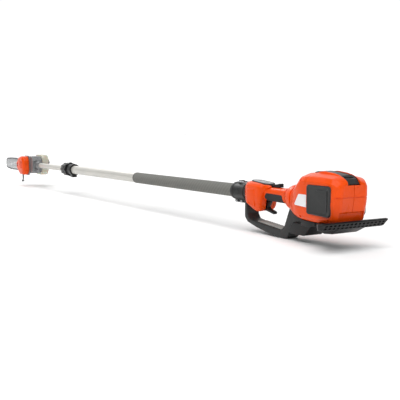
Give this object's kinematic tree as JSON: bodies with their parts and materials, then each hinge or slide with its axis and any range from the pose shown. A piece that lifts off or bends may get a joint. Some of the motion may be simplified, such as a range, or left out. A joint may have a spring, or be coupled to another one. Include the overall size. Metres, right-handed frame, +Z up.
{
  "type": "telescoping pole saw",
  "caption": "Battery telescoping pole saw with a rear motor unit, grip handle, loop guard, sliding pole and a bar-and-chain cutting head.",
  "frame": {"origin": "centre of the flat underside of the loop guard", "axes": "+X along the pole toward the saw head, +Y to the operator's left, +Z up"},
  "size_m": [2.6111, 0.2246, 0.186],
  "materials": {
    "housing_orange": "fine moulded texture",
    "dark_shell": "fine moulded texture",
    "black_plastic": "satin moulded",
    "soft_grip": "soft matt rubber",
    "guard_rubber": "ribbed matt rubber",
    "foam": "fine foam",
    "tube_paint": "satin",
    "steel": "machined",
    "chain_steel": "oiled",
    "bar_steel": "ground",
    "cast_alloy": "as cast, shot blasted",
    "tank_plastic": "translucent blow moulded",
    "key_plastic": "satin",
    "bush_plastic": "waxy",
    "copper": "varnished copper wire",
    "board": "lacquered circuit board",
    "cell_wrap": "shrink wrap",
    "hook_steel": "black coated",
    "wire_insulation": "satin"
  },
  "bodies": {
    "power_unit": {"housing_left": "housing_orange", "housing_right": "housing_orange", "side_panel_left": "dark_shell", "side_panel_right": "dark_shell", "intake_ring": "housing_orange", "belly_cover": "black_plastic", "bumper": "black_plastic", "case_screws": "steel", "battery_tray": "black_plastic", "terminal_block": "black_plastic", "handle_left": "housing_orange", "handle_right": "housing_orange", "grip_insert": "soft_grip", "keypad_bezel": "dark_shell", "control_board": "board", "microswitches": "black_plastic", "pivot_pins": "steel", "return_springs": "steel", "loop_guard": "dark_shell", "guard_pad": "guard_rubber", "pole_collar": "dark_shell", "clamp_bolts": "steel", "outer_tube": "tube_paint", "grip_sleeve": "foam", "clamp_body": "black_plastic", "collet": "bush_plastic", "motor_stator": "copper", "shaft_bearings": "steel", "motor_controller": "board", "wiring_harness": "wire_insulation"},
    "battery": {"battery_case": "dark_shell", "battery_cells": "cell_wrap"},
    "battery_release": {"release_button": "black_plastic"},
    "trigger": {"trigger": "black_plastic"},
    "lockout": {"lockout_lever": "black_plastic"},
    "power_key": {"key_power": "key_plastic"},
    "mode_key": {"key_mode": "key_plastic"},
    "rotor": {"motor_rotor": "steel", "cooling_fan": "black_plastic", "drive_sleeve": "steel", "slide_bush": "bush_plastic"},
    "lock_nut": {"lock_nut": "dark_shell"},
    "harness_ring": {"harness_ring": "steel"},
    "front_pole": {"inner_tube": "tube_paint", "slider_shoe": "black_plastic", "gear_housing": "cast_alloy", "head_bearings": "steel", "head_fasteners": "steel", "oil_tank": "tank_plastic", "oil_pump": "black_plastic", "clutch_cover": "housing_orange", "guide_bar": "bar_steel", "saw_chain": "chain_steel", "branch_hook": "hook_steel"},
    "front_shaft": {"drive_rod": "steel", "bevel_pinion": "steel"},
    "sprocket": {"bevel_gear": "steel", "chain_sprocket": "steel"},
    "nose_wheel": {"nose_sprocket": "steel"},
    "oil_cap": {"oil_cap": "black_plastic"}
  },
  "joints": [
    {"name": "telescope", "type": "slide", "parent": "power_unit", "child": "front_pole", "axis": [1, 0, 0], "range_m": [0, 1.2]},
    {"name": "battery_slide", "type": "slide", "parent": "power_unit", "child": "battery", "axis": [0, 0, 1], "range_m": [0, 0.085]},
    {"name": "battery_release_push", "type": "slide", "parent": "battery", "child": "battery_release", "axis": [0, 0, -1], "range_m": [0, 0.002], "stiffness_N_per_m": 900, "springref_m": -0.0008},
    {"name": "trigger_squeeze", "type": "hinge", "parent": "power_unit", "child": "trigger", "pos_m": [0.09, 0, 0.086], "axis": [0, 1, 0], "range_deg": [0, 12], "stiffness_Nm_per_rad": 0.6, "springref_deg": -6.88},
    {"name": "lockout_press", "type": "hinge", "parent": "power_unit", "child": "lockout", "pos_m": [0.068, 0, 0.1338], "axis": [0, -1, 0], "range_deg": [0, 6], "stiffness_Nm_per_rad": 0.5, "springref_deg": -6.88},
    {"name": "power_key_press", "type": "slide", "parent": "power_unit", "child": "power_key", "axis": [0, 0, -1], "range_m": [0, 0.0008], "stiffness_N_per_m": 900, "springref_m": -0.0006},
    {"name": "mode_key_press", "type": "slide", "parent": "power_unit", "child": "mode_key", "axis": [0, 0, -1], "range_m": [0, 0.0008], "stiffness_N_per_m": 900, "springref_m": -0.0006},
    {"name": "drive_spin", "type": "hinge", "parent": "power_unit", "child": "rotor", "pos_m": [0.19, 0, 0.11], "axis": [1, 0, 0], "continuous": true},
    {"name": "lock_nut_turn", "type": "hinge", "parent": "power_unit", "child": "lock_nut", "pos_m": [1.57, 0, 0.11], "axis": [1, 0, 0], "range_deg": [0, 60]},
    {"name": "harness_ring_swing", "type": "hinge", "parent": "power_unit", "child": "harness_ring", "pos_m": [0.21, 0, 0.1378], "axis": [0, 1, 0], "range_deg": [0, 150]},
    {"name": "front_shaft_spin", "type": "hinge", "parent": "front_pole", "child": "front_shaft", "pos_m": [2.07, 0, 0.11], "axis": [1, 0, 0], "continuous": true},
    {"name": "sprocket_spin", "type": "hinge", "parent": "front_pole", "child": "sprocket", "pos_m": [2.07, 0, 0.11], "axis": [0, 1, 0], "continuous": true},
    {"name": "nose_wheel_spin", "type": "hinge", "parent": "front_pole", "child": "nose_wheel", "pos_m": [2.325, 0, 0.11], "axis": [0, 1, 0], "continuous": true},
    {"name": "oil_cap_turn", "type": "hinge", "parent": "front_pole", "child": "oil_cap", "pos_m": [2.03, 0, 0.122], "axis": [0, -1, 0], "range_deg": [0, 90]}
  ],
  "couplings": [
    {"joint": "front_shaft_spin", "follows": "drive_spin", "ratio": 1},
    {"joint": "sprocket_spin", "follows": "drive_spin", "ratio": 0.75},
    {"joint": "nose_wheel_spin", "follows": "drive_spin", "ratio": 0.64286}
  ]
}
